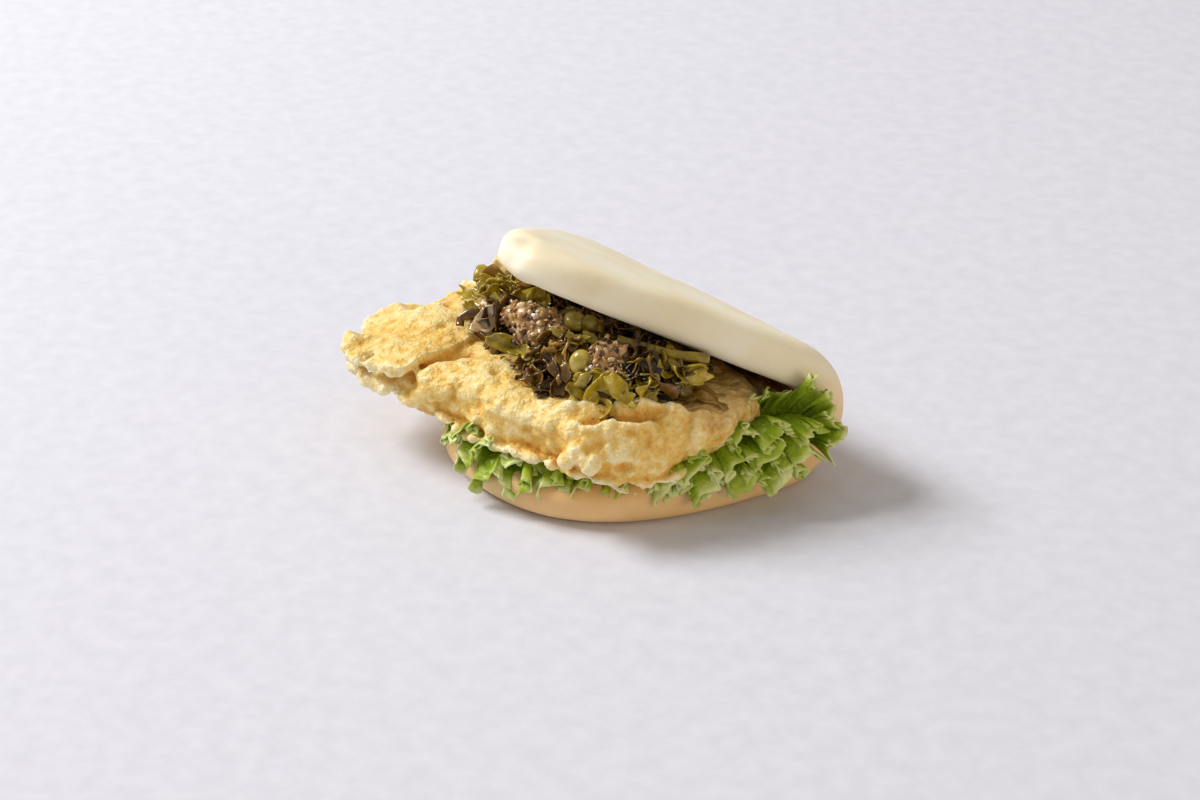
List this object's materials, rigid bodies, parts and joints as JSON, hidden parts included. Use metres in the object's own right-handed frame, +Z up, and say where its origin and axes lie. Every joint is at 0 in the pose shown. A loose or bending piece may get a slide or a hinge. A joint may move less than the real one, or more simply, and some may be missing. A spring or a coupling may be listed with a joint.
{
  "type": "filled steamed bun",
  "caption": "Folded steamed bun holding frilly lettuce, a battered fillet and a heap of chopped pickled greens, lying on its lower lobe as served.",
  "frame": {"origin": "middle of the flat spot that the bun rests on, under the lower lobe", "axes": "+X along the fold, +Y towards the fold at the back, +Z up; the mouth opens towards -Y"},
  "size_m": [0.1345, 0.0962, 0.0679],
  "materials": {
    "steamed_dough": "smooth satin steamed dough",
    "fried_batter": "crisp blistered golden batter",
    "lettuce_leaf": "waxy fresh leaf",
    "pickled_greens": "wet, oily and dark olive"
  },
  "bodies": {
    "root": {"bun": "steamed_dough", "fillet": "fried_batter", "lettuce": "lettuce_leaf", "greens": "pickled_greens"}
  },
  "joints": []
}
